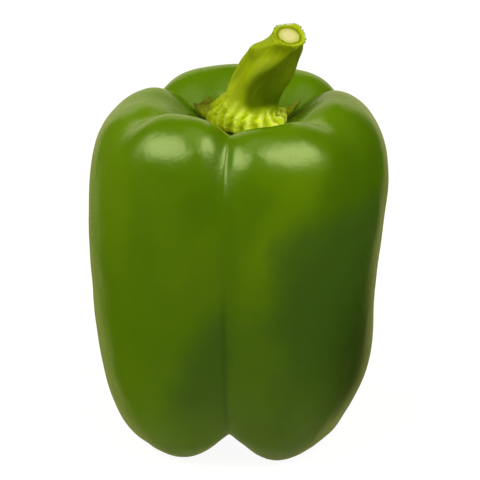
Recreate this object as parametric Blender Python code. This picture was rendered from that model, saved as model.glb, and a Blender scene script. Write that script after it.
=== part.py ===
"""A green bell pepper standing on its three lobes, with its cut stem and calyx.

The fruit is a turned form with grooves pressed into it: a meridian runs from the
dimple under the stem, over the shoulder and down to the blossom end, and at each
angle the surface is pushed in or out along that meridian's own normal. The stem
and its calyx grew as one piece, so they are one body: rings follow the stem's
path down from the cut, flare at its foot and spread over the dimple to a toothed
margin. Sizes are in millimetres and angles in degrees; MM turns sizes into metres.
"""

import math

import bmesh
import bpy
import numpy as np

MM = 0.001

# Fruit meridian from the dimple to the blossom end, as rows that pull a smooth curve: radius and
# height, depth of the broad valley and of the narrow crease along each main groove, depth of the
# shallow valley that halves the front lobes, and the half width of the broad valley in degrees.
MERIDIAN = np.array([
    (0.0, 86.0, 0.0, 0.0, 0.0, 12),
    (6.0, 86.0, 0.0, 0.0, 0.0, 12),
    (13.5, 86.6, 0.4, 0.4, 0.6, 12),
    (19.0, 93.0, 1.2, 1.4, 2.8, 12),
    (26.0, 97.0, 2.0, 2.2, 3.9, 12),
    (33.5, 94.0, 2.4, 1.8, 3.0, 12),
    (38.8, 85.0, 1.8, 0.8, 1.1, 12),
    (40.4, 71.5, 1.4, 0.3, 0.4, 13),
    (40.4, 57.0, 1.2, 0.3, 0.2, 14),
    (39.7, 42.0, 1.3, 0.5, 0.2, 14),
    (38.5, 27.0, 1.8, 0.8, 0.2, 15),
    (35.7, 12.5, 3.0, 1.2, 0.3, 16),
    (30.5, 1.7, 5.7, 2.6, 0.4, 18),
    (22.0, -1.4, 6.9, 4.2, 0.4, 20),
    (12.5, 1.0, 3.8, 3.0, 0.2, 22),
    (5.5, 6.5, 1.0, 0.6, 0.0, 24),
    (0.0, 8.0, 0.0, 0.0, 0.0, 24),
])
GROOVES = (30.0, 138.0, 263.5)  # where the three seed chambers meet
CREASE_WIDTH = 5.0
CREASE_ROUNDING = 0.25
SHALLOW_VALLEYS = (204.0, 323.0)
SHALLOW_WIDTH = 14.0
# Local swells and dents: angle, half width, meridian row, half reach in rows, outwards.
SWELLS = (
    (2.0, 32.0, 8.6, 1.8, -3.4),
    (0.0, 34.0, 11.6, 0.9, -2.4),
    (0.0, 30.0, 6.8, 1.4, 1.0),
    (332.0, 34.0, 11.6, 2.0, -2.0),
    (286.0, 26.0, 3.9, 1.8, -2.4),
    (176.0, 30.0, 4.4, 1.3, -3.1),
    (98.0, 32.0, 4.4, 1.6, 0.6),
    (84.0, 40.0, 7.4, 2.4, -0.8),
    (124.0, 16.0, 5.2, 1.5, -0.9),
    (0.0, 30.0, 4.9, 1.3, -1.3),
    (296.0, 26.0, 12.0, 0.8, -0.7),
    (302.0, 30.0, 13.5, 1.1, 1.2),
)
DIMPLE_SHARE = 0.25  # share of the meridian that lies inside the dimple and its wall
DIMPLE_STEPS = 40
SEGMENTS_PER_LOBE = 28
FRUIT_RINGS = 48
GATHER = 0.6  # how strongly the fruit's meridian lines crowd towards the grooves, 0 to 1

# Stem from the middle of the dimple to the middle of the cut, as a cubic Bezier path.
STEM_PATH = np.array([(2.0, 0.5, 86.0), (1.6, 0.6, 95.0), (8.2, -1.6, 103.0), (12.9, -7.0, 113.3)])
# Rings from the cut to the underside, as rows that pull a smooth curve: place along the path,
# radius, depth of the flutes, share of the calyx in the ring, place across the calyx from its
# middle to its margin, and place through its thickness from its underside to its top.
STEM_RINGS = np.array([
    (0.988, 0.0, 0.00, 0.0, 0.60, 1.0),
    (0.988, 1.6, 0.00, 0.0, 0.60, 1.0),
    (0.985, 2.9, 0.00, 0.0, 0.60, 1.0),
    (0.968, 3.4, 0.00, 0.0, 0.60, 1.0),
    (1.012, 3.9, 0.05, 0.0, 0.60, 1.0),
    (0.990, 4.4, 0.10, 0.0, 0.60, 1.0),
    (0.945, 3.9, 0.15, 0.0, 0.60, 1.0),
    (0.860, 4.5, 0.25, 0.0, 0.60, 1.0),
    (0.760, 6.1, 0.45, 0.0, 0.60, 1.0),
    (0.630, 6.5, 0.60, 0.0, 0.60, 1.0),
    (0.500, 6.5, 0.65, 0.0, 0.60, 1.0),
    (0.380, 6.7, 0.65, 0.0, 0.62, 1.0),
    (0.290, 6.8, 0.50, 0.0, 0.66, 1.0),
    (0.230, 8.3, 0.20, 0.2, 0.78, 1.0),
    (0.150, 9.6, 0.05, 0.8, 0.90, 1.0),
    (0.080, 10.2, 0.00, 1.0, 0.95, 1.0),
    (0.050, 10.2, 0.00, 1.0, 1.02, 0.8),
    (0.050, 10.2, 0.00, 1.0, 1.02, 0.0),
    (0.050, 10.2, 0.00, 1.0, 0.90, 0.0),
    (0.050, 10.2, 0.00, 1.0, 0.68, 0.0),
    (0.050, 10.2, 0.00, 1.0, 0.45, 0.0),
    (0.050, 10.2, 0.00, 1.0, 0.22, 0.0),
    (0.050, 10.2, 0.00, 1.0, 0.00, 0.0),
])
FLUTES, FLUTE_ANGLE, FLUTE_TWIST = 5, 256.0, 14.0  # the flutes turn from the foot to the cut
CUT_RADIUS = 4.3
CUT_FACING = np.array([0.18, -0.46, 0.87])  # the way the slanting cut faces
CUT_TURN_FROM = 0.72  # place on the path where the rings start to turn towards the cut's slant
# Torn edges of the cut and a leaf scar: angle, half width, place on the path, reach, outwards.
SCARS = (
    (62.0, 20.0, 1.000, 0.045, 1.5),
    (338.0, 22.0, 0.930, 0.070, 1.0),
    (168.0, 28.0, 0.780, 0.070, 0.8),
)
CALYX_CENTRE = (2.0, 0.5)
CALYX_RADIUS = 9.9
# Teeth of the calyx and the narrow side between them: angle, half width, reach beyond the
# margin, lift off the dimple.
TEETH = (
    (142.0, 19.0, 6.9, 1.0),
    (30.0, 8.0, 5.5, 0.8),
    (217.0, 38.0, -1.4, 0.0),
    (318.0, 13.0, 1.6, 0.3),
    (84.0, 15.0, 3.6, 0.8),
)
LIFT_FROM = 8.0  # distance from the calyx's centre at which its teeth start to rise
CALYX_THICKNESS = 1.2
FLARE_THICKNESS, FLARE_FROM, FLARE_FADE = 3.4, 8.8, 2.0
SEAT_GAP = 0.45  # clearance between the calyx and the dimple
RIBS, RIB_HEIGHT, RIB_ANGLE = 18, 0.35, 270.0
STEM_SEGMENTS = 72
STEM_SURFACE_RINGS = 40

SKIN = ((0.085, 0.19, 0.008, 1.0), 0.28)
STEM_SKIN = ((0.26, 0.36, 0.02, 1.0), 0.55)


def clear_scene():
    for obj in list(bpy.data.objects):
        bpy.data.objects.remove(obj)


def smooth_rows(rows, share, odd):
    """The rows' cubic B-spline and its slope, at shares 0 to 1 along them.

    Both ends are mirrored, with the columns named in odd turned over, so that a
    column that starts at nought crosses it in a straight line.
    """
    mirror = np.ones(rows.shape[1])
    mirror[list(odd)] = -1
    pulls = np.vstack([rows[1] * mirror, rows, rows[-2] * mirror])
    spans = len(rows) - 1
    at = np.clip(share, 0, 1) * spans
    first = np.minimum(at.astype(int), spans - 1)
    f = (at - first)[:, None]
    weights = ((1 - f) ** 3, 3 * f**3 - 6 * f**2 + 4, -3 * f**3 + 3 * f**2 + 3 * f + 1, f**3)
    slopes = (-3 * (1 - f) ** 2, 9 * f**2 - 12 * f, -9 * f**2 + 6 * f + 3, 3 * f**2)
    values = sum(w * pulls[first + i] for i, w in enumerate(weights)) / 6
    slope = sum(w * pulls[first + i] for i, w in enumerate(slopes)) / 6
    return values, slope


def apart(angle, degrees):
    """Signed degrees from a direction, given in degrees, to angles in radians."""
    return np.degrees(np.angle(np.exp(1j * (angle - math.radians(degrees)))))


def hump(distance, half_width):
    return np.exp(-((distance / half_width) ** 2))


def crease(distance):
    return np.exp(CREASE_ROUNDING - np.hypot(distance / CREASE_WIDTH, CREASE_ROUNDING))


def fruit_surface(angle, share):
    """Points of the fruit at angles round it and shares down its meridian."""
    rows, slope = smooth_rows(MERIDIAN, share, odd=(0,))
    radius, height, valley, narrow, shallow, width = rows.T
    push = np.zeros_like(angle)
    for groove in GROOVES:
        distance = apart(angle, groove)
        push -= valley * hump(distance, width) + narrow * crease(distance)
    for middle in SHALLOW_VALLEYS:
        push -= shallow * hump(apart(angle, middle), SHALLOW_WIDTH)
    row = share * (len(MERIDIAN) - 1)
    for middle, half_width, middle_row, reach, outwards in SWELLS:
        push += outwards * hump(apart(angle, middle), half_width) * hump(row - middle_row, reach)
    steepness = np.hypot(slope[:, 0], slope[:, 1])
    radius = radius - push * slope[:, 1] / steepness
    height = np.maximum(height + push * slope[:, 0] / steepness, 0)
    return np.stack([radius * np.cos(angle), radius * np.sin(angle), height], 1)


def gathered(angle):
    """Even angles crowded towards the grooves, with a meridian line along each groove."""
    turn = np.mod(angle / (2 * math.pi), 1) * len(GROOVES)
    lobe = np.minimum(turn.astype(int), len(GROOVES) - 1)
    across = turn - lobe
    starts = np.radians(GROOVES)
    widths = np.mod(np.roll(starts, -1) - starts, 2 * math.pi)
    return starts[lobe] + widths[lobe] * (across - GATHER * np.sin(2 * math.pi * across) / (2 * math.pi))


def dimple_height(x, y):
    """Height of the fruit under points that lie over its dimple."""
    share = np.linspace(0, DIMPLE_SHARE, DIMPLE_STEPS)
    angle = np.repeat(np.arctan2(y, x), DIMPLE_STEPS)
    wall = fruit_surface(angle, np.tile(share, len(x))).reshape(len(x), DIMPLE_STEPS, 3)
    distance = np.hypot(wall[:, :, 0], wall[:, :, 1])
    wanted = np.hypot(x, y)
    step = np.clip((distance <= wanted[:, None]).sum(1) - 1, 0, DIMPLE_STEPS - 2)
    one = np.arange(len(x))
    near, far = distance[one, step], distance[one, step + 1]
    blend = np.clip((wanted - near) / np.maximum(far - near, 1e-9), 0, 1)
    return (1 - blend) * wall[one, step, 2] + blend * wall[one, step + 1, 2]


def path_at(place):
    """Points of the stem's path and its direction there."""
    rest = 1 - place
    weights = (rest**3, 3 * place * rest**2, 3 * place**2 * rest, place**3)
    middle = sum(w[:, None] * point for w, point in zip(weights, STEM_PATH))
    legs = np.diff(STEM_PATH, axis=0)
    along = sum(w[:, None] * leg for w, leg in zip((rest**2, 2 * place * rest, place**2), legs))
    return middle, along / np.linalg.norm(along, axis=1, keepdims=True)


def stalk_points(angle, place, radius, flute):
    """Points on the stem's own rings, square to its path."""
    middle, along = path_at(place)
    turn = np.clip((place - CUT_TURN_FROM) / (1 - CUT_TURN_FROM), 0, 1)[:, None] ** 2
    along = along + turn * (CUT_FACING - along)
    along /= np.linalg.norm(along, axis=1, keepdims=True)
    right = np.array([1.0, 0, 0]) - along[:, :1] * along
    right /= np.linalg.norm(right, axis=1, keepdims=True)
    back = np.cross(along, right)
    turned = apart(angle, FLUTE_ANGLE) - FLUTE_TWIST * place
    radius = radius + flute * np.cos(np.radians(FLUTES * turned))
    for scar, half_width, scar_place, reach, outwards in SCARS:
        bump = hump(apart(angle, scar), half_width) * hump(place - scar_place, reach)
        radius = radius + outwards * bump * np.minimum(radius / CUT_RADIUS, 1) ** 3
    return middle + radius[:, None] * (np.cos(angle)[:, None] * right + np.sin(angle)[:, None] * back)


def calyx_points(angle, across, through):
    """Points of the calyx across it and through its thickness, laid over the dimple."""
    ribs = np.cos(np.radians(RIBS * apart(angle, RIB_ANGLE)))
    margin = CALYX_RADIUS + RIB_HEIGHT * ribs
    lift = np.zeros_like(angle)
    for tooth, half_width, reach, rise in TEETH:
        shape = hump(apart(angle, tooth), half_width)
        margin = margin + reach * shape
        lift = lift + rise * shape
    distance = across * margin
    lift = lift * np.clip((distance - LIFT_FROM) / (margin - LIFT_FROM), 0, 1) ** 2
    past_stem = np.maximum(distance - FLARE_FROM, 0)
    thickness = CALYX_THICKNESS + RIB_HEIGHT * ribs + FLARE_THICKNESS * np.exp(-past_stem / FLARE_FADE)
    x = CALYX_CENTRE[0] + distance * np.cos(angle)
    y = CALYX_CENTRE[1] + distance * np.sin(angle)
    return np.stack([x, y, dimple_height(x, y) + SEAT_GAP + lift + through * thickness], 1)


def stem_surface(angle, share):
    """Points of the stem and calyx at angles round them and shares from the cut downwards."""
    rows, _ = smooth_rows(STEM_RINGS, share, odd=(1, 4))
    place, radius, flute, calyx, across, through = rows.T
    calyx = calyx[:, None]
    stalk = stalk_points(angle, place, radius, flute)
    return (1 - calyx) * stalk + calyx * calyx_points(angle, across, through)


def make_material(name, colour, roughness):
    material = bpy.data.materials.new(name)
    material.use_nodes = True
    shader = material.node_tree.nodes["Principled BSDF"]
    shader.inputs["Base Color"].default_value = colour
    shader.inputs["Roughness"].default_value = roughness
    shader.inputs["Metallic"].default_value = 0.0
    return material


def grown_body(name, segments, rings, surface, material):
    """A closed body: a ball's meridian lines and rings, moved onto a surface of angle and share."""
    ball = bmesh.new()
    bmesh.ops.create_uvsphere(ball, u_segments=segments, v_segments=rings, radius=1.0)
    places = np.array([vert.co for vert in ball.verts])
    angle = np.arctan2(places[:, 1], places[:, 0])
    share = np.arccos(np.clip(places[:, 2], -1, 1)) / math.pi
    for vert, point in zip(ball.verts, surface(angle, share)):
        vert.co = point * MM
    mesh = bpy.data.meshes.new(name)
    ball.to_mesh(mesh)
    ball.free()
    mesh.shade_smooth()
    mesh.materials.append(material)
    return bpy.data.objects.new(name, mesh)


def make_fruit():
    return grown_body(
        "fruit", SEGMENTS_PER_LOBE * len(GROOVES), FRUIT_RINGS,
        lambda angle, share: fruit_surface(gathered(angle), share), make_material("skin", *SKIN),
    )


def make_stem():
    return grown_body(
        "stem", STEM_SEGMENTS, STEM_SURFACE_RINGS, stem_surface, make_material("stem_skin", *STEM_SKIN),
    )


def main():
    clear_scene()
    pepper = bpy.data.collections.new("bell_pepper")
    bpy.context.scene.collection.children.link(pepper)
    for piece in (make_fruit(), make_stem()):
        pepper.objects.link(piece)


main()
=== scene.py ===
"""Looks of a green bell pepper: the waxy fruit, its fleshy cut stem and calyx, and a white studio.

The fruit's form follows a rule, so Geometry Nodes grow it from a meridian curve: every point is
pushed in or out along the meridian's normal by the grooves, valleys and swells at its angle.
The stem is a ball of rings moved onto a formula and then given its fine relief.
Tables of sizes are in millimetres and degrees; MM turns millimetres into metres.
"""

import math

import bmesh
import bpy
import numpy as np
from bpy.props import FloatProperty, FloatVectorProperty, IntProperty, PointerProperty
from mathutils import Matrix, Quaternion, Vector, noise
from mathutils.bvhtree import BVHTree


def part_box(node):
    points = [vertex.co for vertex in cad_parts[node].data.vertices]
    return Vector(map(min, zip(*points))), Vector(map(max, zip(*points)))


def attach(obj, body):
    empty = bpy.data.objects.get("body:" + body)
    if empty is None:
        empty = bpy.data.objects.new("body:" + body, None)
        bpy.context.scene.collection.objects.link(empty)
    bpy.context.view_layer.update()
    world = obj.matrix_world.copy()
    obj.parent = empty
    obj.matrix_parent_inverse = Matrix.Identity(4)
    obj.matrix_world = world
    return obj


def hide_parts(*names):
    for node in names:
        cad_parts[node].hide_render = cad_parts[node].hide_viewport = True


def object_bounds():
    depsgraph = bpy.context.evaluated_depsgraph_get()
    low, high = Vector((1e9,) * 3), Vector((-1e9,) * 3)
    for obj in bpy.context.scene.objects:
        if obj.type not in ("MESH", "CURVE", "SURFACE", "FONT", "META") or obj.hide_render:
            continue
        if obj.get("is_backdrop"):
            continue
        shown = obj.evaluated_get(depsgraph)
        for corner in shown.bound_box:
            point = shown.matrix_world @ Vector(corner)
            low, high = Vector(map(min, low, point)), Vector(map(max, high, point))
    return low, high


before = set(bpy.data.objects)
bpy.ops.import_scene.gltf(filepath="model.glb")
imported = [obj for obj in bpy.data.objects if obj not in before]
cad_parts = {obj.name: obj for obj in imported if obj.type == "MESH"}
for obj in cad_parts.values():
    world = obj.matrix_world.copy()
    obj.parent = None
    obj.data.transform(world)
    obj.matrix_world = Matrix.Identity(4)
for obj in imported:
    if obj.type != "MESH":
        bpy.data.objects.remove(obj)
cad_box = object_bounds()

bl_info = {
    "name": "Bell pepper",
    "version": (1, 0, 0),
    "blender": (4, 5, 0),
    "location": "View3D > Sidebar > Bell pepper",
    "description": "Grows a glossy green bell pepper with its stem and sets it in a white studio",
    "category": "Add Mesh",
}

MM = 0.001

# Meridian from the dimple to the blossom end: radius, height, depth of the broad valley and of the
# narrow crease along each groove, depth of the shallow valleys, half width of the broad valley.
MERIDIAN = (
    (0.0, 86.0, 0.0, 0.0, 0.0, 12),
    (6.0, 86.0, 0.0, 0.0, 0.0, 12),
    (13.5, 86.6, 0.4, 0.4, 0.6, 12),
    (19.0, 93.0, 1.2, 1.4, 2.8, 12),
    (26.0, 97.0, 2.0, 2.2, 3.9, 12),
    (33.5, 94.0, 2.4, 1.8, 3.0, 12),
    (38.8, 85.0, 1.8, 0.8, 1.1, 12),
    (40.4, 71.5, 1.4, 0.3, 0.4, 13),
    (40.4, 57.0, 1.2, 0.3, 0.2, 14),
    (39.7, 42.0, 1.3, 0.5, 0.2, 14),
    (38.5, 27.0, 1.8, 0.8, 0.2, 15),
    (35.7, 12.5, 3.0, 1.2, 0.3, 16),
    (30.5, 1.7, 5.7, 2.6, 0.4, 18),
    (22.0, -1.4, 6.9, 4.2, 0.4, 20),
    (12.5, 1.0, 3.8, 3.0, 0.2, 22),
    (5.5, 6.5, 1.0, 0.6, 0.0, 24),
    (0.0, 8.0, 0.0, 0.0, 0.0, 24),
)
GROOVES = (30.0, 138.0, 263.5)
CREASE_ROUNDING = 0.25
SHALLOW_VALLEYS = (204.0, 323.0)
SHALLOW_WIDTH = 14.0
# Local swells and dents: angle, half width, meridian row, half reach in rows, outwards.
SWELLS = (
    (2.0, 32.0, 8.6, 1.8, -3.4),
    (0.0, 34.0, 11.6, 0.9, -2.4),
    (0.0, 30.0, 6.8, 1.4, 1.0),
    (332.0, 34.0, 11.6, 2.0, -2.0),
    (286.0, 26.0, 3.9, 1.8, -2.4),
    (176.0, 30.0, 4.4, 1.3, -3.1),
    (98.0, 32.0, 4.4, 1.6, 0.6),
    (84.0, 40.0, 7.4, 2.4, -0.8),
    (124.0, 16.0, 5.2, 1.5, -0.9),
    (0.0, 30.0, 4.9, 1.3, -1.3),
    (296.0, 26.0, 12.0, 0.8, -0.7),
    (302.0, 30.0, 13.5, 1.1, 1.2),
    (263.0, 3.9, 5.6, 0.9, -0.7),
    (262.0, 4.9, 5.95, 1.0, -0.9),
    (254.7, 5.0, 4.8, 1.0, 0.4),
)
GATHER = 0.6  # how strongly the fruit's meridian lines crowd towards the grooves, 0 to 1
INWARDS = 0.3  # how far the lumps are sunk, as a share of their height, to stay inside the solids

STEM_PATH = np.array([(2.0, 0.5, 86.0), (1.6, 0.6, 95.0), (8.2, -1.6, 103.0), (12.9, -7.0, 113.3)])
# Rings from the cut to the underside: place along the path, radius, depth of the flutes, share of
# the calyx in the ring, place across the calyx, place through its thickness.
STEM_RINGS = np.array([
    (0.988, 0.0, 0.00, 0.0, 0.60, 1.0),
    (0.988, 1.6, 0.00, 0.0, 0.60, 1.0),
    (0.985, 2.9, 0.00, 0.0, 0.60, 1.0),
    (0.984, 3.45, 0.00, 0.0, 0.60, 1.0),
    (0.996, 3.9, 0.05, 0.0, 0.60, 1.0),
    (0.990, 4.4, 0.10, 0.0, 0.60, 1.0),
    (0.945, 3.9, 0.15, 0.0, 0.60, 1.0),
    (0.860, 4.5, 0.25, 0.0, 0.60, 1.0),
    (0.760, 6.1, 0.45, 0.0, 0.60, 1.0),
    (0.630, 6.5, 0.60, 0.0, 0.60, 1.0),
    (0.500, 6.5, 0.65, 0.0, 0.60, 1.0),
    (0.380, 6.7, 0.65, 0.0, 0.62, 1.0),
    (0.290, 6.8, 0.50, 0.0, 0.66, 1.0),
    (0.230, 8.3, 0.20, 0.2, 0.78, 1.0),
    (0.150, 9.6, 0.05, 0.8, 0.90, 1.0),
    (0.080, 10.2, 0.00, 1.0, 0.95, 1.0),
    (0.050, 10.2, 0.00, 1.0, 1.02, 0.8),
    *((0.050, 10.2, 0.00, 1.0, across, 0.0) for across in (1.02, 0.90, 0.68, 0.45, 0.22, 0.00)),
])
CUT_ROW = 4.6  # the ring row just outside the rim of the cut
# Flutes along the stem: how many, the angle of the first, the place where they run straight, and
# how strongly they turn away from it.
FLUTES, FLUTE_ANGLE, FLUTE_STRAIGHT_AT, FLUTE_TWIST = 5, 239.0, 0.58, 400.0
CUT_RADIUS = 4.3
CUT_FACING = np.array([0.18, -0.46, 0.87])  # the way the slanting cut faces
CUT_TURN_FROM = 0.72  # place on the path where the rings start to turn towards the cut's slant
PITH_RADIUS = 2.8
# Torn edges of the cut and a leaf scar: angle, half width, place on the path, reach, outwards.
SCARS = (
    (62.0, 20.0, 1.000, 0.045, 1.5),
    (338.0, 22.0, 0.930, 0.070, 1.0),
    (168.0, 28.0, 0.780, 0.070, 0.8),
)
CALYX_CENTRE = (2.0, 0.5)
# Teeth of the calyx and the narrow side between them: angle, half width, reach, lift.
TEETH = (
    (142.0, 19.0, 6.9, 1.0),
    (30.0, 8.0, 5.5, 0.8),
    (217.0, 38.0, -1.4, 0.0),
    (318.0, 13.0, 1.6, 0.3),
    (84.0, 15.0, 3.6, 0.8),
)
LIFT_FROM = 8.0
FLARE_THICKNESS, FLARE_FROM, FLARE_FADE = 3.4, 8.8, 2.0
SEAT_GAP = 0.45
RIB_ANGLE = 270.0
# Colours of the stem: angle, half width and height in rows of the calyx's rise up its foot, angle
# and half width of the calyx's front, painted brighter as lit and with painted highlights on its
# rib tops, and both ends of the shaded face from the first flute.
FOOT_RISE = (318.0, 22.0, 0.9)
CALYX_PAINTED_LIGHT = (298.0, 62.0)
SHADED_FACE = ((-22.0, 4.0), (72.0, 100.0))
GRAIN_AROUND, GRAIN_ALONG = 6.5, 3.0  # millimetres of grain for the stem's radius and its length

# Tone marks on the front: middle across and up, half width, half height, sideways lean, and
# how far they go towards the light yellow-green (above nought) or the deep green (below).
# The deep marks on the right lobe and beside the front groove are painted shade.
SKIN_TONES_AND_SHADE = (
    (12.0, 73.0, 6.5, 17.0, 0.50, 0.52),
    (14.0, 84.0, 9.0, 6.0, 0.20, 0.40),
    (-33.0, 76.0, 5.0, 20.0, 0.00, 0.45),
    (-10.0, 74.0, 6.0, 7.0, 0.30, -0.45),
    # painted shade: the deep mark on the right lobe
    (31.0, 72.0, 10.0, 17.0, 0.00, -0.95),
    (-22.0, 40.0, 6.0, 22.0, 0.05, -0.25),
    (-26.0, 58.0, 4.0, 9.0, 0.20, -0.30),
    # painted shade: the narrow deep mark beside the front groove
    (-3.2, 62.0, 2.6, 24.0, 0.00, -0.35),
)

# The view of the photograph, taken as an image of 480 by 480 pixels.
IMAGE_SIZE = 480
PIXELS_PER_METRE = 3740.0
AIM_HEIGHT = 0.052
AIM_PIXEL_BELOW_MIDDLE = 10.5
SENSOR = 36.0
WARM = (1.0, 0.99, 0.68, 1.0)  # colour of the studio light
# Softboxes: azimuth, elevation and spin in degrees, width and height in metres.
SOFTBOXES = {
    "left_light": (200.0, 42.0, 25.0, 1.75, 0.80),
    "right_light": (322.0, 51.0, -42.0, 1.45, 0.72),
    "top_light": (250.0, 80.0, 0.0, 0.95, 0.95),
}
LIGHT_DISTANCE = 1.1


def operators(operation):
    """A Python operator that adds a Math node, and its reflected form."""

    def plain(self, other):
        return self.tree.math(operation, self, other)

    def reflected(self, other):
        return self.tree.math(operation, other, self)

    return plain, reflected


class Wire:
    """One output of a node. Python's operators on it add Math nodes to its tree."""

    __add__, __radd__ = operators("ADD")
    __sub__, __rsub__ = operators("SUBTRACT")
    __mul__, __rmul__ = operators("MULTIPLY")
    __truediv__, __rtruediv__ = operators("DIVIDE")
    __pow__, __rpow__ = operators("POWER")
    __gt__, __lt__ = operators("GREATER_THAN")

    def __init__(self, tree, socket):
        self.tree = tree
        self.socket = socket

    def __neg__(self):
        return self * -1.0

    def out(self, name):
        """Another output of the same node."""
        return Wire(self.tree, find_socket(self.socket.node.outputs, name))

    def math(self, operation, *others):
        return self.tree.math(operation, self, *others)

    def smooth(self, low, high):
        """Rises smoothly from 0 at low to 1 at high, or falls if low is the greater."""
        falls = low > high
        settings = {"interpolation_type": "SMOOTHSTEP"}
        inputs = {"Value": self, "From Min": min(low, high), "From Max": max(low, high)}
        inputs |= {"To Min": float(falls), "To Max": float(not falls)}
        return self.tree.add("ShaderNodeMapRange", settings, inputs, "Result")

    def hump(self, half_width):
        """1 where the value is nought, falling away on both sides."""
        return (-((self / half_width) ** 2)).math("EXPONENT")


def find_socket(sockets, key):
    live = [socket for socket in sockets if not socket.is_unavailable]
    if isinstance(key, int):
        return live[key]
    matches = [s for s in live if s.identifier == key] or [s for s in live if s.name == key]
    return matches[0]


class Tree:
    """A node tree that is filled in by calls, each of which adds a node and gives its output."""

    def __init__(self, data):
        self.data = data
        data.nodes.clear()

    def add(self, kind, settings, inputs, out=0):
        """Adds a node: its settings first, then the values or links of its sockets."""
        node = self.data.nodes.new(kind)
        for name, value in settings.items():
            setattr(node, name, value)
        for key, value in inputs.items():
            socket = find_socket(node.inputs, key)
            if isinstance(value, Wire):
                self.data.links.new(value.socket, socket)
            else:
                socket.default_value = value
        return Wire(self, find_socket(node.outputs, out)) if len(node.outputs) else node

    def math(self, operation, *values):
        return self.add("ShaderNodeMath", {"operation": operation}, dict(enumerate(values)))

    def vector(self, operation, *values):
        return self.add("ShaderNodeVectorMath", {"operation": operation}, dict(enumerate(values)))

    def split(self, vector):
        """The X, Y and Z of a vector."""
        x = self.add("ShaderNodeSeparateXYZ", {}, {"Vector": vector}, "X")
        return x, x.out("Y"), x.out("Z")

    def join(self, x, y, z):
        return self.add("ShaderNodeCombineXYZ", {}, {"X": x, "Y": y, "Z": z})

    def named_vector(self, name):
        settings = {"data_type": "FLOAT_VECTOR"}
        return self.add("GeometryNodeInputNamedAttribute", settings, {"Name": name})

    def position(self):
        return self.add("GeometryNodeInputPosition", {}, {})

    def noise(self, where, size, detail=2.0, roughness=0.5, stretch=None):
        """Noise about nought, mostly between -1 and 1, with blobs of that size in metres."""
        if stretch:
            where = self.vector("MULTIPLY", where, stretch)
        inputs = {"Vector": where, "Scale": 1.0 / size, "Detail": detail, "Roughness": roughness}
        return (self.add("ShaderNodeTexNoise", {}, inputs) - 0.5) * 4.0

    def blend(self, share, below, above):
        settings = {"data_type": "RGBA", "clamp_factor": True}
        inputs = {"Factor_Float": share, "A_Color": below, "B_Color": above}
        return self.add("ShaderNodeMix", settings, inputs, "Result_Color")

    def attribute(self, name):
        return self.add("ShaderNodeAttribute", {"attribute_name": name}, {}, "Fac")


def in_metres(name, description, default):
    return FloatProperty(name=name, description=description, unit="LENGTH", default=default)


def in_degrees(name, description, degrees):
    default = math.radians(degrees)
    return FloatProperty(name=name, description=description, unit="ROTATION", default=default)


def count(name, description, default, least):
    return IntProperty(name=name, description=description, default=default, min=least)


def in_watts(name, description, watts):
    return FloatProperty(name=name, description=description, unit="POWER", default=watts)


def factor(name, description, default):
    return FloatProperty(name=name, description=description, default=default, min=0.0)


def paint(name, description, *default):
    colour = (*default, 1.0)
    return FloatVectorProperty(
        name=name, description=description, subtype="COLOR", size=4, min=0.0, default=colour
    )


class FruitSizes(bpy.types.PropertyGroup):
    """Sizes of the fruit."""

    groove_depth: factor("Groove depth", "Depth of the grooves, as a share of the real fruit's", 1.0)
    crease_width: in_degrees("Crease width", "Half width of the fold along each groove", 5.0)
    lumps: in_metres("Lumps", "Height of the gentle lumps of the flesh", 0.00022)
    ripples: in_metres("Ripples", "Height of the fine ripples along the fruit", 0.00006)
    around: count("Faces around", "Faces round the fruit", 402, 12)
    down: count("Faces down", "Faces from stem to blossom end", 236, 12)
    seed: factor("Seed", "Picks another set of lumps and ripples", 3.7)


class StemSizes(bpy.types.PropertyGroup):
    """Sizes of the stem and calyx."""

    calyx_radius: in_metres("Calyx radius", "Radius of the calyx without its teeth", 0.0099)
    calyx_thickness: in_metres("Calyx thickness", "Thickness of the calyx near its margin", 0.0012)
    ribs: count("Ribs", "Ribs round the calyx", 18, 3)
    rib_height: in_metres("Rib height", "Height of the calyx's ribs", 0.00050)
    ridge_height: in_metres("Ridge height", "Height of the edges between the stem's faces", 0.00022)
    fibre_height: in_metres("Fibre height", "Height of the fine lines along the stem", 0.00005)
    around: count("Faces around", "Faces round the stem", 288, 12)
    down: count("Faces down", "Faces from the cut to the underside", 260, 12)
    torn_fibres: count("Torn fibres", "Torn fibres round the cut", 46, 0)
    torn_length: in_metres("Torn length", "Length of a torn fibre", 0.0006)
    torn_width: in_metres("Torn width", "Half width of a torn fibre at its foot", 0.00022)
    seed: count("Seed", "Picks another set of torn fibres", 4, 0)


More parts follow.
